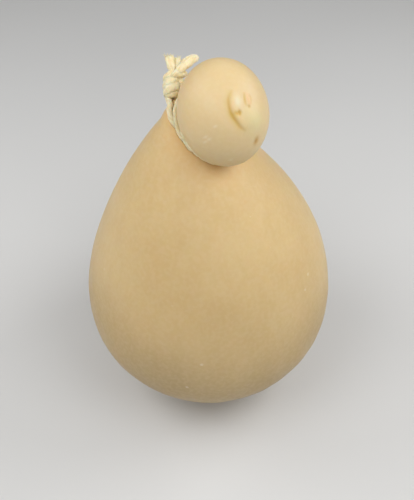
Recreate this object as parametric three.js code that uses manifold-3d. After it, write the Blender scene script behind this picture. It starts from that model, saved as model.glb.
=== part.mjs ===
// Ball of stretched-curd cheese: a teardrop body with a small head that leans over, and one length of
// twine, wound twice round the neck between them and knotted at the back left.
// Millimetres, +Z up. The origin is the centre of the flat spot that the cheese stands on, and -Y is the
// front, the side that the head leans towards.
import * as THREE from "three";
import { mergeVertices } from "three/addons/utils/BufferGeometryUtils.js";
import Module from "manifold-3d";

const radians = THREE.MathUtils.degToRad;

// ---- Body: a profile turned about Z, whose upper part leans to -X ----
const FOOT_RADIUS = 30; // flat spot under the cheese
const FOOT_SPREAD = 24; // how far the side runs straight on after leaving the foot
const FOOT_ANGLE = radians(39); // slope of the side where it meets the foot
const BELLY_RADIUS = 75;
const BELLY_HEIGHT = 70;
const BELLY_FALL = 36; // how far the side stays upright below the belly
const BELLY_RISE = 48; // and above it
const CROWN_RADIUS = 12; // where the shoulders end, inside the head
const CROWN_HEIGHT = 200;
const CROWN_ANGLE = radians(43.5); // slope of the shoulders there, from the vertical
const SHOULDER_RUN = 39; // how far the shoulders run straight down from there
const CROWN_CAP = 7; // rounded top above the crown
const LEAN = 12.5; // sideways shift of the crown's centre
const LEAN_START = 100; // height at which the lean begins

// ---- Head: a ball a little longer than it is wide ----
const HEAD_OFFSET = new THREE.Vector3(19.2, -9.2, 12.3); // its centre, from the crown's centre
const HEAD_AXIS = new THREE.Vector3(-0.17, 0.66, 0.73).normalize(); // the long way of the head
const HEAD_HALF_WIDTH = 22.7;
const HEAD_HALF_LENGTH = 26.7;

// ---- Twine round the neck ----
const NECK_DROP = 16; // from the head's centre down to the twine
const CORD_DIAMETER = 2.4;
const CORD_GAP = 0.3; // between the two turns
const CORD_SEAT = 0.5; // from the neck's skin out to the cord's centre: the rest of it is sunk
const CORD_START = -1.4; // where its first turn starts, along the neck from the bottom of the crease
const TWINE_CLEARANCE = 0.3; // between any part of the twine and the cheese

// ---- Knot, hanging just off the neck, with its ends above it ----
const KNOT_BEARING = radians(137); // round the neck, from its right-hand side
const KNOT_STANDOFF = 12.3; // knot's centre, out from the neck's skin
const KNOT_RISE = 1.3; // and along the neck from the bottom of the crease
const KNOT_AXIS = new THREE.Vector3(-0.08, 0.8, 0.6).normalize(); // from the cord towards the ends
const LEG_SPREAD = radians(55); // the cord leaves the neck this far either side of the knot
const KNOT_WRAPS = 3;
const WRAP_THICKNESS = 4;
const WRAP_PITCH = 3.6;
const KNOT_RADIUS = 4.4;
const END_DIAMETER = 3.4; // the ends are loosened, so they are thicker than the cord
const LOOP_HALF_WIDTH = 2.1; // a folded loop of twine, flattened
const LOOP_HALF_THICKNESS = 1.5;
// Points on the ends and the loop, from the knot's centre.
const LEFT_END = [[1.4, 4.9, 4.5], [0.6, 8.4, 7.7], [0.3, 11.4, 10.4]];
const MIDDLE_END = [[3.1, 6.8, 4.8], [3.9, 11.6, 9.2]];
const FOLDED_LOOP = [[4.1, 3.9, 3.6], [7.9, 6.6, 6.0], [13, 9.8, 8.9]];

// ---- Smoothness ----
const BODY_SEGMENTS = 48;
const PROFILE_STEPS = 12; // per curve of the profile
const HEAD_SEGMENTS = 32;
const HEAD_BANDS = 20;
const TUBE_SIDES = 8;
const CORD_STEPS = 38; // on each turn
const END_STEPS = 6;
const BEARING_STEP = radians(15); // between the places where the crease is looked for
const CREASE_SEARCH = 12; // how far along the neck it is looked for, each way
const CREASE_STEP = 0.5;

const UP = new THREE.Vector3(0, 0, 1);
const CROWN_CENTRE = new THREE.Vector3(-LEAN, 0, CROWN_HEIGHT);
const HEAD_CENTRE = CROWN_CENTRE.clone().add(HEAD_OFFSET);

const manifold = await Module();
manifold.setup();

// ---- Between three.js geometry and manifold-3d solids ----

function solidFrom(geometry) {
  const bare = new THREE.BufferGeometry().setAttribute("position", geometry.getAttribute("position"));
  bare.setIndex(geometry.index);
  const merged = mergeVertices(bare, 1e-3);
  return new manifold.Manifold(new manifold.Mesh({
    numProp: 3,
    vertProperties: merged.getAttribute("position").array,
    triVerts: new Uint32Array(merged.index.array),
  }));
}

function geometryFrom(solid) {
  const mesh = solid.getMesh();
  const geometry = new THREE.BufferGeometry();
  geometry.setAttribute("position", new THREE.BufferAttribute(mesh.vertProperties, 3));
  geometry.setIndex(new THREE.BufferAttribute(mesh.triVerts, 1));
  geometry.computeVertexNormals();
  return geometry;
}

// ---- Cheese ----

function leanAt(height) {
  const rise = Math.max(0, height - LEAN_START) / (CROWN_HEIGHT - LEAN_START);
  return LEAN * rise * rise;
}

function bodySolid() {
  const profile = new THREE.Path();
  profile.moveTo(0, 0);
  profile.lineTo(FOOT_RADIUS, 0);
  profile.bezierCurveTo(
    FOOT_RADIUS + FOOT_SPREAD * Math.cos(FOOT_ANGLE), FOOT_SPREAD * Math.sin(FOOT_ANGLE),
    BELLY_RADIUS, BELLY_HEIGHT - BELLY_FALL,
    BELLY_RADIUS, BELLY_HEIGHT,
  );
  profile.bezierCurveTo(
    BELLY_RADIUS, BELLY_HEIGHT + BELLY_RISE,
    CROWN_RADIUS + SHOULDER_RUN * Math.sin(CROWN_ANGLE),
    CROWN_HEIGHT - SHOULDER_RUN * Math.cos(CROWN_ANGLE),
    CROWN_RADIUS, CROWN_HEIGHT,
  );
  profile.quadraticCurveTo(CROWN_RADIUS / 2, CROWN_HEIGHT + CROWN_CAP, 0, CROWN_HEIGHT + CROWN_CAP);

  const body = new THREE.LatheGeometry(profile.getPoints(PROFILE_STEPS), BODY_SEGMENTS);
  body.rotateX(Math.PI / 2);
  const position = body.getAttribute("position");
  for (let i = 0; i < position.count; i++) {
    position.setX(i, position.getX(i) - leanAt(position.getZ(i)));
  }
  return solidFrom(body);
}

function headSolid() {
  const head = new THREE.SphereGeometry(1, HEAD_SEGMENTS, HEAD_BANDS);
  head.scale(HEAD_HALF_WIDTH, HEAD_HALF_LENGTH, HEAD_HALF_WIDTH);
  const turn = new THREE.Quaternion().setFromUnitVectors(new THREE.Vector3(0, 1, 0), HEAD_AXIS);
  head.applyQuaternion(turn);
  head.translate(HEAD_CENTRE.x, HEAD_CENTRE.y, HEAD_CENTRE.z);
  return solidFrom(head);
}

const uncutCheese = bodySolid().add(headSolid());

// ---- Neck: its axis halves the turn from the upright body to the leaning head ----

const neckAxis = HEAD_OFFSET.clone().normalize().add(UP).normalize();
const neckCentre = HEAD_CENTRE.clone().addScaledVector(neckAxis, -NECK_DROP);
const neckRight = new THREE.Vector3(1, 0, 0).addScaledVector(neckAxis, -neckAxis.x).normalize();
const neckBack = new THREE.Vector3().crossVectors(neckAxis, neckRight);
const cheeseSkin = new THREE.Mesh(
  geometryFrom(uncutCheese),
  new THREE.MeshBasicMaterial({ side: THREE.DoubleSide }),
);

function outwards(bearing) {
  return neckRight.clone().multiplyScalar(Math.cos(bearing)).addScaledVector(neckBack, Math.sin(bearing));
}

// How far from the neck's axis the skin is.
function skinRadius(bearing, along) {
  const start = neckCentre.clone().addScaledVector(neckAxis, along);
  return new THREE.Raycaster(start, outwards(bearing)).intersectObject(cheeseSkin).at(-1).distance;
}

// A point outside the neck. Its rise is measured from the bottom of the crease, the place where the
// skin comes nearest to the neck's axis.
function neckPoint(bearing, rise, standoff) {
  let crease = -CREASE_SEARCH;
  for (let along = crease; along <= CREASE_SEARCH; along += CREASE_STEP) {
    if (skinRadius(bearing, along) < skinRadius(bearing, crease)) crease = along;
  }
  return neckCentre.clone()
    .addScaledVector(neckAxis, crease + rise)
    .addScaledVector(outwards(bearing), skinRadius(bearing, crease + rise) + standoff);
}

// ---- Twine ----

const knotCentre = neckPoint(KNOT_BEARING, KNOT_RISE, KNOT_STANDOFF);
const knotLength = KNOT_WRAPS * WRAP_PITCH;

// The cord's route: out of the foot of the knot, twice round the neck as a flat helix, and back.
function cordCurve() {
  const first = KNOT_BEARING + LEG_SPREAD;
  const last = KNOT_BEARING - LEG_SPREAD + 4 * Math.PI;
  const count = Math.round((last - first) / BEARING_STEP);
  const pitch = CORD_DIAMETER + CORD_GAP;
  const turns = [];
  for (let i = 0; i <= count; i++) {
    const turned = (last - first) * i / count;
    turns.push(neckPoint(first + turned, CORD_START + pitch * turned / (2 * Math.PI), CORD_SEAT));
  }
  const apart = neckAxis.clone().multiplyScalar(pitch / 2);
  const knotFoot = knotCentre.clone().addScaledVector(KNOT_AXIS, -knotLength / 2);
  return new THREE.CatmullRomCurve3([
    knotCentre.clone().sub(apart),
    knotFoot.clone().sub(apart),
    ...turns,
    knotFoot.clone().add(apart),
    knotCentre.clone().add(apart),
  ], false, "centripetal");
}

// The two turns are made apart, because a solid can't lie against itself. They share a short stretch.
function cordTurns() {
  const route = cordCurve();
  const shared = 0.005;
  return [[0, 0.5 + shared], [0.5 - shared, 1]].map(([from, to]) => {
    const points = [];
    for (let i = 0; i <= CORD_STEPS; i++) {
      points.push(route.getPointAt(THREE.MathUtils.lerp(from, to, i / CORD_STEPS)));
    }
    return new THREE.CatmullRomCurve3(points, false, "centripetal");
  });
}

const turnCurves = cordTurns();

function tube(curve, halfAcross, halfUpright, steps) {
  const section = new THREE.Shape().absellipse(0, 0, halfAcross, halfUpright, 0, 2 * Math.PI);
  return solidFrom(new THREE.ExtrudeGeometry(section, {
    steps,
    curveSegments: TUBE_SIDES / 2, // an ellipse gets twice as many
    extrudePath: curve,
  }));
}

function knotSolids(grow) {
  const turn = new THREE.Quaternion().setFromUnitVectors(UP, KNOT_AXIS);
  const place = new THREE.Matrix4().compose(knotCentre, turn, new THREE.Vector3(1, 1, 1));
  const ringRadius = KNOT_RADIUS - WRAP_THICKNESS / 2;
  const coreRadius = ringRadius + grow;
  const core = new THREE.CylinderGeometry(coreRadius, coreRadius, knotLength - WRAP_PITCH, 16);
  core.rotateX(Math.PI / 2);
  const solids = [solidFrom(core.applyMatrix4(place))];
  for (let i = 0; i < KNOT_WRAPS; i++) {
    const wrap = new THREE.TorusGeometry(ringRadius, WRAP_THICKNESS / 2 + grow, 10, 20);
    wrap.translate(0, 0, (i + 0.5) * WRAP_PITCH - knotLength / 2);
    solids.push(solidFrom(wrap.applyMatrix4(place)));
  }
  return solids;
}

function fromKnot(offsets) {
  const points = offsets.map((offset) => new THREE.Vector3(...offset).add(knotCentre));
  return new THREE.CatmullRomCurve3([knotCentre, ...points]);
}

// The whole twine, grown all round: by 0 for the twine itself, by its clearance for its groove.
function twineSolid(grow) {
  const cordRadius = CORD_DIAMETER / 2 + grow;
  const endRadius = END_DIAMETER / 2 + grow;
  const solids = [
    ...turnCurves.map((curve) => tube(curve, cordRadius, cordRadius, CORD_STEPS)),
    ...knotSolids(grow),
    tube(fromKnot(LEFT_END), endRadius, endRadius, END_STEPS),
    tube(fromKnot(MIDDLE_END), endRadius, endRadius, END_STEPS),
    tube(fromKnot(FOLDED_LOOP), LOOP_HALF_THICKNESS + grow, LOOP_HALF_WIDTH + grow, END_STEPS),
  ];
  return solids.reduce((whole, next) => whole.add(next));
}

// ---- Put together ----

const cheese = new THREE.Mesh(
  geometryFrom(uncutCheese.subtract(twineSolid(TWINE_CLEARANCE))),
  new THREE.MeshStandardMaterial({ color: 0xdcc08c, roughness: 0.45, metalness: 0 }),
);
cheese.name = "cheese";

const twine = new THREE.Mesh(
  geometryFrom(twineSolid(0)),
  new THREE.MeshStandardMaterial({ color: 0xe6d6a6, roughness: 0.85, metalness: 0 }),
);
twine.name = "tie_twine";

const ball = new THREE.Group();
ball.add(cheese, twine);

export default ball;
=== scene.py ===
"""Ball of stretched-curd cheese with a twine tie: its looks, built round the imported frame.

Shapes are worked out in millimetres and turned into metres when a mesh is made.
"""
import math

import bmesh
import bpy
import numpy as np
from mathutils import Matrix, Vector


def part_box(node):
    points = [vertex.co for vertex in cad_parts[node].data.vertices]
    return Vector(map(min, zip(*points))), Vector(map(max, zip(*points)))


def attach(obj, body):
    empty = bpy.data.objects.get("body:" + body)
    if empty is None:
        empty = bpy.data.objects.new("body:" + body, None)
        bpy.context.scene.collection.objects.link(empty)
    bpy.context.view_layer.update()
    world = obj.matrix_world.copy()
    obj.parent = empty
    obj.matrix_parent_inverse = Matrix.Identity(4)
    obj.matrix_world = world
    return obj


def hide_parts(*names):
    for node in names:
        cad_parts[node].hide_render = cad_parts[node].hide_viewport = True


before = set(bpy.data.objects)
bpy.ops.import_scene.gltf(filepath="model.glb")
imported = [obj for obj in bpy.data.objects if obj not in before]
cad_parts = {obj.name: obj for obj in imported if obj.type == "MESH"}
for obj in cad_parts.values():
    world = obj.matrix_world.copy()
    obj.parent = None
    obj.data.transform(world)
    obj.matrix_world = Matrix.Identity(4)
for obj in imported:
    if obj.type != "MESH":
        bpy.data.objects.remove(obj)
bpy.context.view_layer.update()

MM = 0.001


def unit(vector):
    vector = np.array(vector, float)
    return vector / np.linalg.norm(vector)


def box_mm(node):
    low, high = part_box(node)
    return np.array(low) / MM, np.array(high) / MM


# ---- Cheese: the same body, head and neck as the CAD model's ----
CHEESE_LOW, CHEESE_HIGH = box_mm("cheese")
SKIN_INSET = 0.15  # keeps the rounded skin inside the faceted CAD one
FOOT_RADIUS = 30
FOOT_SPREAD = 24
FOOT_ANGLE = math.radians(39)
FOOT_ROUNDING = 6
BELLY_RADIUS = (CHEESE_HIGH[0] - CHEESE_LOW[0]) / 2
BELLY_HEIGHT = 70
BELLY_FALL = 36
BELLY_RISE = 48
CROWN_RADIUS = 12
CROWN_HEIGHT = 200
CROWN_ANGLE = math.radians(43.5)
SHOULDER_RUN = 39
CROWN_CAP = 7
LEAN = 12.5
LEAN_START = 100
UP = np.array([0.0, 0.0, 1.0])
HEAD_OFFSET = np.array([19.2, -9.2, 12.3])
HEAD_CENTRE = np.array([-LEAN, 0, CROWN_HEIGHT]) + HEAD_OFFSET
HEAD_SHIFT = np.array([0.5, 0, -0.2])  # how far this head is from the CAD model's
HEAD_AXIS = unit([-0.17, 0.66, 0.73])
HEAD_HALF_WIDTH = 22.7
HEAD_HALF_LENGTH = 26.7
COLLAR_CENTRE = np.array([-14.0, 2.0, 200.0])  # curd squeezed up beside the head by the tie
COLLAR_RADIUS = 9.0
COLLAR_SOFTNESS = 4.0
CREASE_SOFTNESS = 2.0  # rounding where the head meets the shoulders
SKIN_VOXEL = 1.6
FINE_ROUND_HEAD = 7  # how far from the head the faces are finer, for the groove
HEAD_CUTS = 2
SEAL_CUTS = 1  # finer still round the seal
FOOT_SHADE_TOP = 125  # the rind gets darker from here down: partly a browner foot, partly painted shade from below
FOOT_SHADE_FULL = 25

# ---- Seal: the folded, pinched place on the head where the curd was closed ----
SEAL_CENTRE = HEAD_CENTRE + HEAD_SHIFT + np.array([7.6, -16.4, 13.7])
SEAL_OUT = unit([0.331, -0.707, 0.624])
SEAL_UP = unit(HEAD_AXIS - HEAD_AXIS @ SEAL_OUT * SEAL_OUT)
SEAL_RIGHT = np.cross(SEAL_UP, SEAL_OUT)

# ---- Neck and twine ----
NECK_AXIS = unit(unit(HEAD_OFFSET) + UP)
NECK_CENTRE = HEAD_CENTRE - 16 * NECK_AXIS
NECK_RIGHT = unit(np.array([1, 0, 0]) - NECK_AXIS[0] * NECK_AXIS)
NECK_BACK = np.cross(NECK_AXIS, NECK_RIGHT)
CORD_RADIUS = 1.2
LEG_RADIUS = 1.6  # thicker where it comes out of the knot
GROOVE_CLEARANCE = 0.15
GROOVE_SOFTNESS = 0.9
GROOVE_REACH = 6  # how far from the cord the skin can feel it
KNOT_CENTRE = np.array([-19.0, 11.3, 213.3])
KNOT_AXIS = unit([-0.08, 0.8, 0.6])
KNOT_FOOT = KNOT_CENTRE - 6.0 * KNOT_AXIS
LEGS_APART = np.array([2.2, 0, 0.3])
STEP = 0.4  # between the points of a strand
# Each turn of the cord round the neck: bearing in degrees, rise above the bottom of the crease,
# and how far the middle of the cord stands out from the skin there.
FIRST_TURN = [
    (158, -2.7, 0.7), (172, -3.2, 0.7), (180, -2.7, 0.0), (188, -1.2, -0.8), (195, 0.4, -0.4),
    (203, 0.4, 0.0), (212, -0.3, 0.1), (224, -0.6, 0.0), (236, -0.5, -0.3), (246, -0.2, -0.8),
    (256, 0.0, -1.1), (275, 0.0, -1.1), (330, -0.9, -0.3), (400, -1.2, 0.2), (480, -1.2, 0.3),
    (500, -0.6, 0.3),
]
SECOND_TURN = [
    (515, 0.3, 0.5), (527, -0.3, 0.7), (535, -0.8, 0.8), (546, -1.0, 0.8), (557, -1.2, 0.5),
    (566, -1.1, 0.2), (573, -0.6, -0.4), (581, 0.5, -0.4), (590, 1.3, -0.5), (606, 1.9, -0.8),
    (640, 2.2, -0.9), (690, 1.2, 0.1), (760, 1.2, 0.3), (802, 1.2, 0.4),
]


# ---- Small tools ----

def smooth_min(a, b, softness):
    near = np.maximum(softness - np.abs(a - b), 0) / softness
    return np.minimum(a, b) - near * near * softness / 4


def smooth_max(a, b, softness):
    return -smooth_min(-a, -b, softness)


def smooth_step(low, high, value):
    t = np.clip((value - low) / (high - low), 0, 1)
    return t * t * (3 - 2 * t)


def bell(distance, width):
    return np.exp(-(distance / width) ** 2)


def ripples(points, wavelength, seed, count=7):
    """Soft lumps between about -1 and 1: waves of one length in random directions."""
    rng = np.random.default_rng(seed)
    total = np.zeros(len(points))
    for _ in range(count):
        direction = unit(rng.normal(size=3))
        length = wavelength * rng.uniform(0.75, 1.35)
        total += np.sin(points @ direction * 2 * math.pi / length + rng.uniform(0, 2 * math.pi))
    return total / math.sqrt(count)


def bezier(a, b, c, d, steps=90):
    t = np.linspace(0, 1, steps)[:, None]
    a, b, c, d = (np.array(p, float) for p in (a, b, c, d))
    return (1 - t) ** 3 * a + 3 * (1 - t) ** 2 * t * b + 3 * (1 - t) * t * t * c + t ** 3 * d


def through(points, spacing):
    """A smooth curve through the points, as points the same distance apart."""
    p = np.array(points, float)
    p = np.vstack([2 * p[0] - p[1], p, 2 * p[-1] - p[-2]])
    t = np.linspace(0, 1, 16, endpoint=False)[:, None]
    spans = []
    for a, b, c, d in zip(p, p[1:], p[2:], p[3:]):
        inner = 2 * a - 5 * b + 4 * c - d + t * (3 * (b - c) + d - a)
        spans.append(b + 0.5 * t * (c - a + t * inner))
    return spaced(np.vstack(spans + [p[-2:-1]]), spacing)


def run_along(path):
    """How far along the path each of its points is."""
    return np.concatenate([[0], np.cumsum(np.linalg.norm(np.diff(path, axis=0), axis=1))])


def spaced(points, spacing):
    run = run_along(points)
    stops = np.linspace(0, run[-1], max(3, round(run[-1] / spacing) + 1))
    return np.stack([np.interp(stops, run, points[:, i]) for i in range(3)], axis=1)


def nearest_on(path, points):
    """Each point's distance to the path, and how far along the path that is, from 0 to 1."""
    best = np.full(len(points), np.inf)
    where = np.zeros(len(points))
    run = np.linspace(0, 1, len(path))
    for i in range(len(path) - 1):
        side = path[i + 1] - path[i]
        t = np.clip((points - path[i]) @ side / (side @ side), 0, 1)
        distance = np.linalg.norm(points - path[i] - t[:, None] * side, axis=1)
        closer = distance < best
        best[closer] = distance[closer]
        where[closer] = run[i] + t[closer] * (run[i + 1] - run[i])
    return best, where


def object_from(name, vertices, faces, material):
    mesh = bpy.data.meshes.new(name)
    mesh.from_pydata((np.asarray(vertices) * MM).tolist(), [], faces)
    mesh.polygons.foreach_set("use_smooth", [True] * len(mesh.polygons))
    mesh.materials.append(material)
    mesh.update()
    made = bpy.data.objects.new(name, mesh)
    bpy.context.scene.collection.objects.link(made)
    return made


def store(mesh, name, values):
    attribute = mesh.attributes.new(name, "FLOAT", "POINT")
    attribute.data.foreach_set("value", np.asarray(values, np.float32))


# ---- Cheese: its skin as a distance ----

def body_profile():
    lower = bezier(
        (FOOT_RADIUS, 0),
        (FOOT_RADIUS + FOOT_SPREAD * math.cos(FOOT_ANGLE), FOOT_SPREAD * math.sin(FOOT_ANGLE)),
        (BELLY_RADIUS, BELLY_HEIGHT - BELLY_FALL),
        (BELLY_RADIUS, BELLY_HEIGHT),
    )
    upper = bezier(
        (BELLY_RADIUS, BELLY_HEIGHT),
        (BELLY_RADIUS, BELLY_HEIGHT + BELLY_RISE),
        (CROWN_RADIUS + SHOULDER_RUN * math.sin(CROWN_ANGLE),
         CROWN_HEIGHT - SHOULDER_RUN * math.cos(CROWN_ANGLE)),
        (CROWN_RADIUS, CROWN_HEIGHT),
    )
    t = np.linspace(0, 1, 20)[1:, None]
    cap = np.hstack([CROWN_RADIUS * (1 - t), CROWN_HEIGHT + CROWN_CAP * (2 * t - t * t)])
    return np.vstack([lower, upper[1:], cap])


PROFILE = body_profile()
PROFILE_SLOPE = np.gradient(PROFILE[:, 0], PROFILE[:, 1])


def from_body(points):
    rise = np.maximum(0, points[:, 2] - LEAN_START) / (CROWN_HEIGHT - LEAN_START)
    across = np.hypot(points[:, 0] + LEAN * rise * rise, points[:, 1])
    radius = np.interp(points[:, 2], PROFILE[:, 1], PROFILE[:, 0])
    slope = np.interp(points[:, 2], PROFILE[:, 1], PROFILE_SLOPE)
    turned = (across - radius) / np.sqrt(1 + slope * slope)
    collar = np.linalg.norm(points - COLLAR_CENTRE, axis=1) - COLLAR_RADIUS
    return smooth_min(turned, collar, COLLAR_SOFTNESS)


def from_head(points):
    offset = points - HEAD_CENTRE - HEAD_SHIFT
    along = offset @ HEAD_AXIS
    aside = np.linalg.norm(offset - along[:, None] * HEAD_AXIS, axis=1)
    once = np.hypot(along / HEAD_HALF_LENGTH, aside / HEAD_HALF_WIDTH)
    twice = np.hypot(along / HEAD_HALF_LENGTH ** 2, aside / HEAD_HALF_WIDTH ** 2)
    return (once - 1) * once / np.maximum(twice, 1e-6)


def plain_skin(points):
    """Distance outside the cheese, before anything is pressed or folded into it."""
    joined = smooth_min(from_body(points), from_head(points), CREASE_SOFTNESS)
    return smooth_max(joined + SKIN_INSET, -points[:, 2], FOOT_ROUNDING)


SEAL_REACH = 26
SEAL_DEPTH = 14
SEAL_FINE_REACH = 15
SEAL_FINE_DEPTH = 9
# The folds of the seal, in millimetres right of its centre and up from it.
MAIN_FOLD = [(-1.6, 10.4), (-3.5, 8.3), (-4.6, 5.9), (-4.9, 3.3), (-4.7, 0.3), (-4.0, -2.0),
             (-2.5, -4.7), (-0.9, -7.1), (2.0, -9.6)]
SECOND_FOLD = [(3.6, 8.6), (3.1, 6.4), (3.0, 4.0), (3.4, 1.6)]
THIRD_FOLD = [(6.0, 7.6), (6.5, 5.0), (5.9, 2.2)]
SHORT_FOLD = [(-3.6, 0.2), (-1.8, -0.9), (0.6, 0.1)]
# Ovals: centre, half width, half height and tilt.
LOBE = ((-0.7, 4.9), 2.1, 3.4, 0.08)
LOBE_PALE = ((-0.7, 4.9), 1.7, 2.9, 0.08)
RIDGE = ((4.9, 4.8), 1.1, 3.0, 0.05)
BULGE = ((6.8, -5.1), 6.5, 5.5, -0.5)
DENT = ((8.1, -14.8), 1.3, 2.0, -0.45)
PAINTED_SEAL_SHADE_PATCH = ((-2.2, -0.8), 2.6, 1.7)
# Each pit's oval and golden tint, which is painted shade in the pit.
PITS = [(((-0.8, -0.6), 0.6, 1.25, -0.1), 0.8), (((4.6, 1.5), 0.65, 0.75, 0.0), 0.5)]
PIT_DEPTH = 0.45
SPECKS = [
    (-16.0, -9.4), (-14.6, -10.6), (-12.1, -5.1), (-15.9, -11.6), (-5.0, -22.5), (-4.2, -22.2),
]
# Depth, width and golden tint of the smaller folds; the tint is painted shade in the fold.
SMALL_FOLDS = [
    (SECOND_FOLD, 0.25, 0.7, 0.75), (THIRD_FOLD, 0.12, 0.5, 0.4), (SHORT_FOLD, 0.18, 0.8, 0.55),
]


def oval(flat, centre, half_width, half_height, tilt=0.0):
    x, y = flat[:, 0] - centre[0], flat[:, 1] - centre[1]
    c, s = math.cos(tilt), math.sin(tilt)
    return np.hypot((c * x + s * y) / half_width, (c * y - s * x) / half_height)


def fold(flat, points):
    """How far the points are from a fold, and how much of it is there: none at its ends."""
    path = through([(x, y, 0) for x, y in points], 0.4)
    distance, where = nearest_on(path, flat)
    return distance, np.clip(np.sin(math.pi * where), 0, 1) ** 0.6


def seal_marks(points):
    """How far the seal stands out from the plain head, and how much of each tint it has; one tint
    is painted shade in the folds and pits.
    """
    offset = points - SEAL_CENTRE
    flat = np.stack([offset @ SEAL_RIGHT, offset @ SEAL_UP, np.zeros(len(points))], axis=1)
    distance, here = fold(flat, MAIN_FOLD)
    fold_rise, fold_right = np.array(sorted((y, x) for x, y in MAIN_FOLD)).T
    inside = smooth_step(-0.8, 0.8, flat[:, 0] - np.interp(flat[:, 1], fold_rise, fold_right))
    outside = 1 - inside
    flap = 0.3 * bell(distance - 1.7, 1.7) * inside - 0.2 * bell(distance - 0.8, 1.8) * outside
    relief = (flap - 0.22 * bell(distance, 0.8)) * here
    # Painted shade: a golden-brown darkening along the folds, wider outside the main fold.
    painted_seal_shade = (0.65 * bell(distance, 0.9) + 0.45 * bell(distance, 2.3) * outside) * here
    for path, depth, width, tint in SMALL_FOLDS:
        distance, here = fold(flat, path)
        relief -= depth * bell(distance, width) * here
        painted_seal_shade += tint * bell(distance, width) * here
    for place, tint in PITS:
        pit = bell(oval(flat, *place), 1)
        relief -= PIT_DEPTH * pit
        painted_seal_shade += tint * pit
    painted_seal_shade += 0.45 * bell(oval(flat, *PAINTED_SEAL_SHADE_PATCH), 1)
    lobe = smooth_step(1.25, 0.55, oval(flat, *LOBE))
    bulge = bell(oval(flat, *BULGE), 1)
    ridge = bell(oval(flat, *RIDGE), 1)
    dent = bell(oval(flat, *DENT), 1)
    relief += 0.1 * lobe + 0.15 * ridge + 0.65 * bulge - 0.35 * dent
    specks = np.max([bell(oval(flat, spot, 0.8, 0.6, 0.4), 1) for spot in SPECKS], axis=0)
    return {
        "relief": relief,
        "painted_seal_shade": np.clip(painted_seal_shade, 0, 1),
        "pale": bell(oval(flat, *LOBE_PALE), 1),
        "green": bulge,
        "pink": ridge,
        "dent": dent,
        "speck": specks,
    }


def lumps(points):
    """The hand-made unevenness of the skin, kept inwards so that the cheese keeps its size."""
    soft = 0.25 * ripples(points, 70, seed=3) + 0.08 * ripples(points, 24, seed=5)
    streaks = 0.05 * ripples(points * np.array([1, 1, 0.12]), 9, seed=8)
    body = smooth_step(160, 90, points[:, 2])
    return np.minimum(soft, 0.3) * (0.5 + 0.5 * body) - 0.3 * body - 0.15 + streaks * body


def round_seal(points, reach, depth):
    offset = points - SEAL_CENTRE
    return (np.linalg.norm(offset, axis=1) < reach) & (offset @ SEAL_OUT > -depth)


class Skin:
    """The finished skin, for points that are already close to it."""

    def __init__(self, points, cord):
        self.cord = cord[::3]
        self.tied = nearest_on(cord[::8], points)[0] < GROOVE_REACH
        self.sealed = round_seal(points, SEAL_REACH, SEAL_DEPTH)

    def __call__(self, points):
        skin = plain_skin(points) - lumps(points) * smooth_step(0, 12, points[:, 2])
        skin[self.sealed] -= seal_marks(points[self.sealed])["relief"]
        distance = nearest_on(self.cord, points[self.tied])[0]
        groove = CORD_RADIUS + GROOVE_CLEARANCE - distance
        skin[self.tied] = smooth_max(skin[self.tied], groove, GROOVE_SOFTNESS)
        return skin


def settle(points, distance_to, rounds, longest=0.8):
    """Moves points onto the skin, along its slope."""
    step = 0.02
    for _ in range(rounds):
        here = distance_to(points)
        slope = np.stack([
            (distance_to(points + step * axis) - here) / step for axis in np.eye(3)
        ], axis=1)
        size = np.maximum((slope * slope).sum(axis=1), 0.25)
        move = -(here / size)[:, None] * slope
        length = np.linalg.norm(move, axis=1, keepdims=True)
        points = points + move * np.minimum(1, longest / np.maximum(length, 1e-9))
    return points


def relax(points, edges, rounds, share=0.5):
    """Evens out the spacing of the points."""
    count = np.zeros(len(points))
    np.add.at(count, edges.ravel(), 1)
    for _ in range(rounds):
        total = np.zeros_like(points)
        np.add.at(total, edges[:, 0], points[edges[:, 1]])
        np.add.at(total, edges[:, 1], points[edges[:, 0]])
        points = points + share * (total / count[:, None] - points)
    return points


def mesh_arrays(mesh):
    points = np.empty(len(mesh.vertices) * 3)
    mesh.vertices.foreach_get("co", points)
    edges = np.empty(len(mesh.edges) * 2, int)
    mesh.edges.foreach_get("vertices", edges)
    return points.reshape(-1, 3) / MM, edges.reshape(-1, 2)


def remeshed(node):
    """Even square faces over a CAD node, whose own mesh stays as it is."""
    copy = bpy.data.objects.new("copy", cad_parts[node].data.copy())
    bpy.context.scene.collection.objects.link(copy)
    remesh = copy.modifiers.new("remesh", "REMESH")
    remesh.mode = "VOXEL"
    remesh.voxel_size = SKIN_VOXEL * MM
    evaluated = copy.evaluated_get(bpy.context.evaluated_depsgraph_get())
    mesh = bpy.data.meshes.new_from_object(evaluated)
    bpy.data.objects.remove(copy)
    return mesh


def refined(mesh, wanted, cuts):
    """Cuts the faces whose corners are all wanted into smaller ones."""
    bm = bmesh.new()
    bm.from_mesh(mesh)
    bm.verts.ensure_lookup_table()
    faces = [f for f in bm.faces if all(wanted[v.index] for v in f.verts)]
    edges = list(dict.fromkeys(e for f in faces for e in f.edges))
    bmesh.ops.subdivide_edges(bm, edges=edges, cuts=cuts, use_grid_fill=True)
    bm.to_mesh(mesh)
    bm.free()
    return mesh


def plain_cheese():
    mesh = remeshed("cheese")
    points, edges = mesh_arrays(mesh)
    for _ in range(3):
        points = relax(settle(points, plain_skin, 4, 2.0), edges, 4)
    points = settle(points, plain_skin, 3)
    mesh.vertices.foreach_set("co", (points * MM).ravel())
    return mesh


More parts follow.
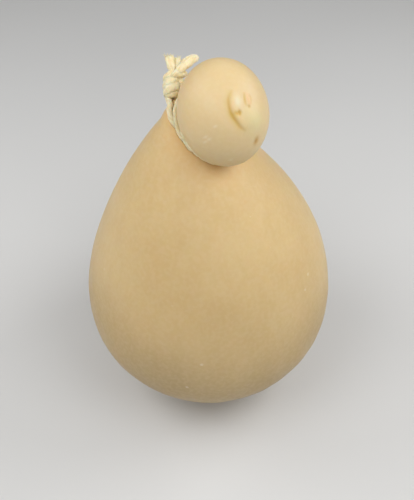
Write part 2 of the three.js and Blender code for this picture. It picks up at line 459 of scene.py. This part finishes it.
def cheese_mesh(cord):
    mesh = plain_cheese()
    mesh = refined(mesh, from_head(mesh_arrays(mesh)[0]) < FINE_ROUND_HEAD, HEAD_CUTS)
    sealed = round_seal(mesh_arrays(mesh)[0], SEAL_FINE_REACH, SEAL_FINE_DEPTH)
    mesh = refined(mesh, sealed, SEAL_CUTS)
    points, edges = mesh_arrays(mesh)
    points = settle(points, plain_skin, 3)
    for _ in range(2):
        points = settle(relax(points, edges, 3), plain_skin, 3)
    skin = Skin(points, cord)
    points = settle(points, skin, 6, 0.5)
    points[:, 2] = np.maximum(points[:, 2], 0)
    mesh.vertices.foreach_set("co", (points * MM).ravel())
    mesh.polygons.foreach_set("use_smooth", [True] * len(mesh.polygons))
    marks = seal_marks(points[skin.sealed])
    for name in ("painted_seal_shade", "pale", "green", "pink", "dent", "speck"):
        values = np.zeros(len(points))
        values[skin.sealed] = marks[name]
        store(mesh, name, values)
    # Painted shade next to the twine: the rind is darker and more orange close to the cord.
    tied = np.zeros(len(points))
    tied[skin.tied] = bell(nearest_on(skin.cord, points[skin.tied])[0] - CORD_RADIUS, 2.2)
    store(mesh, "tied", tied)
    beyond_head = from_head(points)
    store(mesh, "head", smooth_step(4, -2, beyond_head))
    # Painted bounce light: a warm orange in the crease round the head, where light thrown back from
    # the rind would fall.
    store(mesh, "painted_crease_bounce", smooth_step(16, 1, beyond_head) * smooth_step(-1, 2, beyond_head))
    # Darker towards the bottom: partly a browner rind, partly painted shade from below.
    uneven_height = points[:, 2] + 6 * ripples(points, 60, seed=12)
    store(mesh, "foot", smooth_step(FOOT_SHADE_TOP, FOOT_SHADE_FULL, uneven_height))
    mesh.update()
    return mesh


# ---- Twine: its route ----

def outwards(bearings):
    return np.cos(bearings)[:, None] * NECK_RIGHT + np.sin(bearings)[:, None] * NECK_BACK


def skin_radius(bearings, along):
    """How far out from the neck's axis the outermost skin is."""
    out = outwards(bearings)
    centre = NECK_CENTRE + along[:, None] * NECK_AXIS
    reach = np.full(len(bearings), 60.0)
    for _ in range(120):
        reach -= 0.9 * plain_skin(centre + reach[:, None] * out)
    return reach


def crease_along(bearings):
    """Where along the neck's axis the skin is nearest to it."""
    tries = np.arange(-9, 6.01, 0.25)
    every_bearing = np.repeat(bearings, len(tries))
    every_try = np.tile(tries, len(bearings))
    reach = skin_radius(every_bearing, every_try).reshape(len(bearings), len(tries))
    found = tries[reach.argmin(axis=1)]
    for _ in range(3):
        found = np.convolve(np.pad(found, 1, "edge"), (0.25, 0.5, 0.25), "valid")
    return found


def cord_route():
    """One cord, from the foot of the knot twice round the neck, crossing over itself, and back."""
    degrees, rises, seats = np.array(FIRST_TURN + SECOND_TURN).T
    turned = np.linspace(degrees[0], degrees[-1], 160)
    bearings = np.radians(turned)
    along = crease_along(bearings) + np.interp(turned, degrees, rises)
    out = skin_radius(bearings, along) + np.interp(turned, degrees, seats)
    turns = NECK_CENTRE + along[:, None] * NECK_AXIS + out[:, None] * outwards(bearings)
    for _ in range(2):
        turns[1:-1] = 0.25 * turns[:-2] + 0.5 * turns[1:-1] + 0.25 * turns[2:]
    knot = [KNOT_CENTRE, KNOT_FOOT]
    start = [place - LEGS_APART for place in knot]
    end = [place + LEGS_APART for place in reversed(knot)]
    return through([*start, *turns, *end], STEP)


# ---- Twine: its shape ----

def axes_along(path, facing=None):
    """A side and an up direction at each point of the path, turned as little as possible.

    With facing, one direction or one for each point, up stays as near to it as it can.
    """
    tangents = np.gradient(path, axis=0)
    tangents /= np.linalg.norm(tangents, axis=1, keepdims=True)
    side = np.cross(tangents[0], UP if abs(tangents[0] @ UP) < 0.9 else np.array([1.0, 0, 0]))
    sides = []
    for i, tangent in enumerate(tangents):
        if facing is not None:
            side = np.cross(tangent, facing if np.ndim(facing) == 1 else facing[i])
        side = unit(side - side @ tangent * tangent)
        sides.append(side)
    sides = np.array(sides)
    return sides, np.cross(sides, tangents)


class Strands:
    """Collects closed tubes of twine into one mesh."""

    def __init__(self, seed):
        self.rng = np.random.default_rng(seed)
        self.vertices, self.faces, self.valley, self.thread = [], [], [], []
        self.count = 0

    def tube(self, path, half_width, half_height, lobes, turn, facing=None):
        """lobes gives the section's shape, turn how far it is twisted at each point of the path."""
        side, up = axes_along(path, facing)
        sides = len(lobes)
        around = np.linspace(0, 2 * math.pi, sides, endpoint=False)
        angle = around + turn[:, None]
        across = (lobes * np.cos(angle) * half_width[:, None])[..., None] * side[:, None]
        upward = (lobes * np.sin(angle) * half_height[:, None])[..., None] * up[:, None]
        rings = path[:, None] + across + upward
        run = run_along(path)
        size = half_width.max()
        thread = np.empty(rings.shape)
        thread[..., 0] = size * np.cos(around)
        thread[..., 1] = size * np.sin(around)
        thread[..., 2] = run[:, None] * 0.12
        thread += self.rng.uniform(0, 40, 3)
        # Painted shade in the grooves between the plies: how deep each point lies between them.
        valley = np.broadcast_to((lobes.max() - lobes) / max(np.ptp(lobes), 0.05), rings.shape[:2])
        base = self.count
        for ring in range(len(path) - 1):
            for j in range(sides):
                a, b = base + ring * sides + j, base + ring * sides + (j + 1) % sides
                self.faces.append((a, b, b + sides, a + sides))
        first, last = base + len(path) * sides, base + len(path) * sides + 1
        for j in range(sides):
            k = (j + 1) % sides
            self.faces.append((first, base + k, base + j))
            self.faces.append((last, first - sides + j, first - sides + k))
        self.vertices += [rings.reshape(-1, 3), path[:1], path[-1:]]
        self.valley += [valley.ravel(), [0.5, 0.5]]
        self.thread += [thread.reshape(-1, 3), thread[0, :1], thread[-1, :1]]
        self.count = last + 1

    def strand(self, path, half_width, half_height=None, plies=3, relief=0.14, pitch=10,
               facing=None, blunt=0.0, unevenness=0.05):
        """Twisted plies. Widths may be lists, spread along the path. blunt rounds the ends."""
        stretch = np.linspace(0, 1, len(path))
        half_height = half_width if half_height is None else half_height
        widths = [
            np.interp(stretch, np.linspace(0, 1, np.size(size)), np.atleast_1d(size))
            for size in (half_width, half_height)
        ]
        run = run_along(path)
        phase = self.rng.uniform(0, 2 * math.pi, 3)
        swell = 1 + unevenness * (np.sin(run * 1.3 + phase[0]) + 0.7 * np.sin(run * 2.9 + phase[1]))
        if blunt:
            near = np.clip(np.minimum(run, run[-1] - run) / blunt, 0.02, 1)
            swell = swell * np.sqrt(near * (2 - near))
        around = np.linspace(0, 2 * math.pi, 8 * plies, endpoint=False)
        from_ply = np.abs((around * plies / (2 * math.pi) + 0.5) % 1 - 0.5) * 2
        lobes = 1 - relief * from_ply ** 3
        turn = 2 * math.pi * run / pitch + phase[2]
        self.tube(path, widths[0] * swell, widths[1] * swell, lobes, turn, facing)

    def fibre(self, path, radius):
        taper = np.linspace(1, 0.5, len(path)) * radius
        self.tube(path, taper, taper, np.ones(5), np.zeros(len(path)))

    def fray(self, tip, direction, across, half_width, count, length):
        """Loose fibres that stand out of the end of a strand."""
        direction, across = unit(direction), unit(across)
        depth = np.cross(direction, across)
        for _ in range(count):
            offset = self.rng.uniform(-1, 1)
            lean = 0.35 * offset + self.rng.normal(0, 0.16)
            start = tip + offset * half_width * across
            start = start + self.rng.normal(0, 0.4) * depth - 1.2 * direction
            reach = 1.2 + length * self.rng.uniform(0.3, 1)
            heading = unit(direction + lean * across + self.rng.normal(0, 0.2) * depth)
            bend = self.rng.normal(0, 0.35, 3)
            t = np.linspace(0, 1, 6)[:, None]
            self.fibre(start + reach * t * heading + bend * t * t, self.rng.uniform(0.13, 0.24))

    def made(self, name, material):
        made = object_from(name, np.vstack(self.vertices), self.faces, material)
        store(made.data, "valley", np.concatenate(self.valley))
        thread = made.data.attributes.new("thread", "FLOAT_VECTOR", "POINT")
        thread.data.foreach_set("vector", np.vstack(self.thread).astype(np.float32).ravel())
        return made


# Directions for the knot and its ends: along the knot, to its right, and out of its front.
KNOT_RIGHT = unit(np.cross([0, -0.67, 0.74], KNOT_AXIS) * -1)
KNOT_FRONT = np.cross(KNOT_RIGHT, KNOT_AXIS)


def beside_knot(points):
    """Points given as right, up and forward of the knot's centre."""
    return [KNOT_CENTRE + x * KNOT_RIGHT + y * KNOT_AXIS + z * KNOT_FRONT for x, y, z in points]


# Widths and thicknesses of strands are halves, from the middle of the strand.
WRAP_HEIGHTS = [5.4, 2.3, -1.6, -4.9, -5.9]
WRAP_RADII = [2.2, 2.7, 3.1, 2.3, 1.7]
WRAP_WIDTHS = [2.1, 2.3, 2.5, 2.3, 0.9]
WRAP_THICKNESS = 1.5
# The other strands of the knot and above it, as points right, up and forward of its centre.
CORE = [(0, -6, 0), (0, 0, 0), (0, 5.8, 0)]
TUCKED = [(2.6, 5.4, 0.2), (4.6, 2.6, -0.4), (4.7, -1.2, -0.8), (2.9, -5.2, -0.6)]
LOCK = [(0.6, 4.0, 2.4), (3.0, 4.9, 2.2), (4.9, 4.9, 0.9), (6.4, 5.6, -0.9), (8.0, 7.2, -2.2)]
LEFT_END = [(0.9, 4.5, 0.4), (0.9, 7.4, 0.9), (0.4, 11.0, 1.1), (-0.1, 15.6, 0.9)]
MIDDLE_END = [(2.0, 4.5, -0.6), (3.0, 8.5, -0.5), (3.6, 11.8, -0.6), (4.0, 14.8, -0.8)]
LOOP = [
    (1.6, 4.0, 1.6), (4.4, 6.8, 2.2), (8.4, 9.8, 2.0), (11.2, 12.1, 1.4), (12.7, 13.3, 0.2),
    (11.8, 14.0, -1.4), (9.2, 13.4, -2.0), (6.4, 12.0, -1.9), (3.6, 8.8, -1.6), (1.6, 5.5, -1.2),
]
LOOP_WIDTHS = [1.7, 2.1, 2.2, 2.3, 2.2, 1.9, 1.7, 1.5, 1.3]


def knot_wraps(strands):
    """Snug flattened wraps round the knot's core, and the two strands that lock them."""
    turns = len(WRAP_RADII) - 1
    steps = np.linspace(0, turns, 40 * turns)
    angle = 2 * math.pi * steps + 0.6
    radius = np.interp(steps, range(turns + 1), WRAP_RADII)
    height = np.interp(steps, range(turns + 1), WRAP_HEIGHTS) + 0.7 * np.cos(angle) * (steps < 3)
    helix = np.array(beside_knot(np.stack([
        radius * np.cos(angle) - 0.3, height, radius * np.sin(angle)
    ], axis=1)))
    helix = spaced(helix, STEP)
    helix_out = helix - KNOT_CENTRE
    helix_out -= (helix_out @ KNOT_AXIS)[:, None] * KNOT_AXIS
    strands.strand(helix, WRAP_WIDTHS, WRAP_THICKNESS, relief=0.06, pitch=26,
                   facing=helix_out, blunt=1.2)
    strands.strand(through(beside_knot(CORE), 0.6), [2.0, 2.8, 2.2], [2.0, 2.6, 2.0],
                   pitch=30, blunt=1.5)
    strands.strand(through(beside_knot(TUCKED), STEP), [1.5, 2.0, 1.8, 1.2], WRAP_THICKNESS,
                   relief=0.06, pitch=24, blunt=1.0)
    strands.strand(through(beside_knot(LOCK), STEP), [1.7, 1.9, 1.7, 1.3], [1.9, 1.9, 1.6, 1.1],
                   relief=0.08, pitch=16, blunt=1.0)


def frayed_end(strands, points, widths, thicknesses, fray_half_width, fibres, fibre_length):
    """A flat, untwisted end of the twine, with loose fibres at its tip."""
    end = beside_knot(points)
    strands.strand(through(end, STEP), widths, thicknesses, plies=5, relief=0.1, pitch=90,
                   facing=KNOT_FRONT, blunt=0.6)
    strands.fray(end[-1], end[-1] - end[-2], KNOT_RIGHT, fray_half_width, fibres, fibre_length)


def twine(cord, material):
    strands = Strands(seed=2)
    strands.strand(cord, [LEG_RADIUS, LEG_RADIUS, 1.3] + [CORD_RADIUS] * 15, relief=0.1, pitch=13)
    knot_wraps(strands)
    frayed_end(strands, LEFT_END, [1.4, 1.7, 2.1, 2.4, 2.3], [1.1, 1.0, 0.9, 0.7], 1.8, 26, 1.0)
    frayed_end(strands, MIDDLE_END, [1.3, 1.5, 1.8, 1.8], [1.0, 0.9, 0.8, 0.7], 1.3, 16, 0.9)
    strands.strand(through(beside_knot(LOOP), STEP), LOOP_WIDTHS, 1.25, relief=0.08, pitch=40,
                   facing=KNOT_FRONT)
    piece = strands.made("neck_twine", material)
    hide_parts("tie_twine")
    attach(piece, "root")


# ---- Materials ----

class Nodes:
    """Short ways to add and join shader nodes."""

    def __init__(self, name):
        self.material = bpy.data.materials.new(name)
        self.material.use_nodes = True
        self.tree = self.material.node_tree
        self.shader = self.tree.nodes["Principled BSDF"]

    def add(self, kind, settings=None, **inputs):
        node = self.tree.nodes.new(kind)
        for name, value in (settings or {}).items():
            setattr(node, name, value)
        for name, value in inputs.items():
            self.feed(node.inputs[name.replace("_", " ")], value)
        return node

    def feed(self, socket, value):
        if isinstance(value, bpy.types.NodeSocket):
            self.tree.links.new(value, socket)
        else:
            socket.default_value = value

    def noise(self, scale, detail=2.0, stretch=(1, 1, 1), roughness=0.5):
        place = self.add("ShaderNodeTexCoord").outputs["Object"]
        mapping = self.add("ShaderNodeMapping", Vector=place, Scale=stretch)
        return self.add("ShaderNodeTexNoise", Vector=mapping.outputs[0], Scale=scale, Detail=detail,
                        Roughness=roughness).outputs["Fac"]

    def spread(self, value, low, high, to_low=0.0, to_high=1.0):
        node = self.add("ShaderNodeMapRange", {"interpolation_type": "SMOOTHSTEP"}, Value=value)
        numbers = {"From Min": low, "From Max": high, "To Min": to_low, "To Max": to_high}
        for name, number in numbers.items():
            node.inputs[name].default_value = number
        return node.outputs["Result"]

    def mixed(self, amount, a, b):
        node = self.add("ShaderNodeMix", {"data_type": "RGBA"})
        self.feed(node.inputs["Factor"], amount)
        for socket, value in ((node.inputs[6], a), (node.inputs[7], b)):
            self.feed(socket, value if isinstance(value, bpy.types.NodeSocket) else (*value, 1))
        return node.outputs[2]

    def math(self, operation, a, b):
        node = self.add("ShaderNodeMath", {"operation": operation})
        self.feed(node.inputs[0], a)
        self.feed(node.inputs[1], b)
        return node.outputs[0]

    def scaled(self, value, share):
        return self.math("MULTIPLY", value, share)

    def attribute(self, name):
        return self.add("ShaderNodeAttribute", {"attribute_name": name}).outputs["Fac"]

    def tinted(self, colour, tints):
        for name, strength, tint in tints:
            colour = self.mixed(self.scaled(self.attribute(name), strength), colour, tint)
        return colour

    def bump(self, height, distance, strength=1.0, normal=None):
        node = self.add("ShaderNodeBump", Height=height, Distance=distance, Strength=strength)
        if normal:
            self.feed(node.inputs["Normal"], normal)
        return node.outputs[0]

    def finish(self, **inputs):
        for name, value in inputs.items():
            self.feed(self.shader.inputs[name.replace("_", " ")], value)
        return self.material


# Tints of the rind, from the lowest layer up: attribute of the skin, strength and colour.
WIDE_TINTS = [
    # foot: partly a browner rind, partly painted shade from below.
    ("foot", 0.8, (0.36, 0.25, 0.112)),
    ("head", 0.65, (0.74, 0.61, 0.365)),
    # Painted bounce light in the crease round the head.
    ("painted_crease_bounce", 0.4, (0.86, 0.53, 0.20)),
]
SMALL_TINTS = [
    # tied: painted shade next to the twine.
    ("tied", 0.5, (0.70, 0.42, 0.15)),
    ("green", 0.6, (0.72, 0.68, 0.38)),
    ("pink", 0.6, (0.82, 0.50, 0.25)),
    # Painted shade in the folds and pits of the seal.
    ("painted_seal_shade", 0.9, (0.62, 0.40, 0.08)),
    ("pale", 0.6, (0.80, 0.76, 0.56)),
    ("dent", 0.9, (0.50, 0.27, 0.05)),
]
ALONG_BODY = (1, 1, 0.07)  # draws a noise out along the body


def cheese_material():
    n = Nodes("cheese_rind")
    wide = n.spread(n.noise(22, 3), 0.35, 0.68)
    streak = n.spread(n.noise(150, 3, stretch=ALONG_BODY), 0.38, 0.68)
    mottle = n.spread(n.noise(420, 3), 0.35, 0.7)
    colour = n.mixed(wide, (0.685, 0.49, 0.232), (0.72, 0.53, 0.262))
    colour = n.mixed(n.scaled(streak, 0.2), colour, (0.63, 0.43, 0.18))
    colour = n.tinted(colour, WIDE_TINTS)
    colour = n.mixed(n.scaled(mottle, 0.16), colour, (0.80, 0.65, 0.40))
    colour = n.tinted(colour, SMALL_TINTS)
    specks = n.math("MAXIMUM", n.spread(speck_distance(n), 0.16, 0.08), n.attribute("speck"))
    colour = n.mixed(n.scaled(specks, 0.35), colour, (0.88, 0.82, 0.66))
    rough = n.spread(n.noise(60, 4), 0.3, 0.7, 0.42, 0.56)
    grain = n.bump(n.noise(900, 3), 0.00006)
    fine = n.bump(n.noise(150, 2, stretch=ALONG_BODY), 0.00012, normal=grain)
    return n.finish(
        Base_Color=colour, Roughness=rough, Normal=fine, Subsurface_Weight=0.4,
        Subsurface_Radius=(1.0, 0.5, 0.18), Subsurface_Scale=0.006, Specular_IOR_Level=0.42,
        Coat_Weight=0.12, Coat_Roughness=0.32, IOR=1.45,
    )


def speck_distance(n):
    """The distance to a few scattered points, with most of the points left out."""
    place = n.add("ShaderNodeTexCoord").outputs["Object"]
    cells = n.add("ShaderNodeTexVoronoi", Vector=place, Scale=130.0)
    rare = n.spread(n.noise(90, 1), 0.60, 0.64, 1.0, 0.0)
    return n.math("ADD", cells.outputs["Distance"], rare)


def twine_material():
    n = Nodes("twine")
    patches = n.spread(n.noise(190, 3), 0.35, 0.68)
    thread = n.add("ShaderNodeAttribute", {"attribute_name": "thread"}).outputs["Vector"]
    threads = n.add("ShaderNodeTexNoise", Vector=thread, Scale=2.6, Detail=3.0,
                    Roughness=0.6).outputs["Fac"]
    colour = n.mixed(patches, (0.85, 0.71, 0.40), (0.90, 0.81, 0.55))
    colour = n.mixed(n.scaled(n.spread(threads, 0.42, 0.62), 0.45), colour, (0.93, 0.87, 0.66))
    colour = n.mixed(n.scaled(n.spread(threads, 0.46, 0.34), 0.3), colour, (0.66, 0.48, 0.20))
    # Painted shade in the grooves between the plies.
    colour = n.mixed(n.scaled(n.attribute("valley"), 0.3), colour, (0.66, 0.47, 0.19))
    bump = n.bump(threads, 0.0005, strength=0.7)
    return n.finish(
        Base_Color=colour, Roughness=n.spread(threads, 0.3, 0.7, 0.65, 0.88), Normal=bump,
        Subsurface_Weight=0.35, Subsurface_Radius=(1.0, 0.6, 0.3), Subsurface_Scale=0.002,
        Specular_IOR_Level=0.3, Sheen_Weight=0.25, Sheen_Roughness=0.5,
    )


def floor_material():
    n = Nodes("floor")
    tone = n.mixed(n.spread(n.noise(3, 2), 0.3, 0.7), (0.70, 0.70, 0.695), (0.72, 0.72, 0.715))
    return n.finish(Base_Color=tone, Roughness=0.9, Specular_IOR_Level=0.15)


# ---- Camera, floor and light ----

VIEW_ELEVATION = math.radians(47.6)
VIEW_DISTANCE = 0.480
AIM = Vector((-0.001, 0, 0.1022))
LENS = 57.6
LAMP_AIM = Vector((0, 0, 0.14))
WORLD_STRENGTH = 0.2


def add_camera():
    data = bpy.data.cameras.new("camera")
    data.lens = LENS
    data.sensor_width = 36
    data.clip_start = 0.01
    camera = bpy.data.objects.new("camera", data)
    bpy.context.scene.collection.objects.link(camera)
    back = Vector((0, -math.cos(VIEW_ELEVATION), math.sin(VIEW_ELEVATION)))
    camera.location = AIM + VIEW_DISTANCE * back
    camera.rotation_euler = (math.pi / 2 - VIEW_ELEVATION, 0, 0)
    bpy.context.scene.camera = camera


FLOOR_HALF = 3000
FLOOR_MM = [
    (-FLOOR_HALF, -FLOOR_HALF, 0), (FLOOR_HALF, -FLOOR_HALF, 0),
    (FLOOR_HALF, FLOOR_HALF, 0), (-FLOOR_HALF, FLOOR_HALF, 0),
]


def add_floor():
    floor = object_from("floor", FLOOR_MM, [(0, 1, 2, 3)], floor_material())


# Name, place, diameter and power in watts: soft lamps above, in front and at both sides.
LIGHTS = [
    ("overhead", (0.3, -0.3, 1.45), 1.6, 1.6),
    ("front", (0.1, -1.2, 0.9), 1.0, 2.8),
    ("front_right", (0.3, -0.25, 0.65), 0.4, 1.1),
    ("front_left", (-0.3, -0.25, 0.65), 0.4, 1.15),
    ("right", (0.45, 0.1, 0.5), 0.4, 1.4),
    ("left", (-0.45, 0.1, 0.5), 0.4, 1.1),
]


def add_light(name, place, size, power):
    data = bpy.data.lights.new(name, "AREA")
    data.shape = "DISK"
    data.size = size
    data.energy = power
    light = bpy.data.objects.new(name, data)
    light.location = place
    light.rotation_euler = (LAMP_AIM - light.location).to_track_quat("-Z", "Y").to_euler()
    bpy.context.scene.collection.objects.link(light)


def add_lights():
    world = bpy.data.worlds.new("room")
    world.use_nodes = True
    background = world.node_tree.nodes["Background"]
    background.inputs["Color"].default_value = (1, 0.99, 0.97, 1)
    background.inputs["Strength"].default_value = WORLD_STRENGTH
    bpy.context.scene.world = world
    for name, place, size, power in LIGHTS:
        add_light(name, place, size, power)
    bpy.context.scene.view_settings.view_transform = "Standard"


# ---- Put together ----

add_camera()
add_floor()
add_lights()

cord = cord_route()
cheese = bpy.data.objects.new("ball_of_cheese", cheese_mesh(cord))
cheese.data.materials.clear()
cheese.data.materials.append(cheese_material())
bpy.context.scene.collection.objects.link(cheese)
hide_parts("cheese")
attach(cheese, "root")

twine(cord, twine_material())
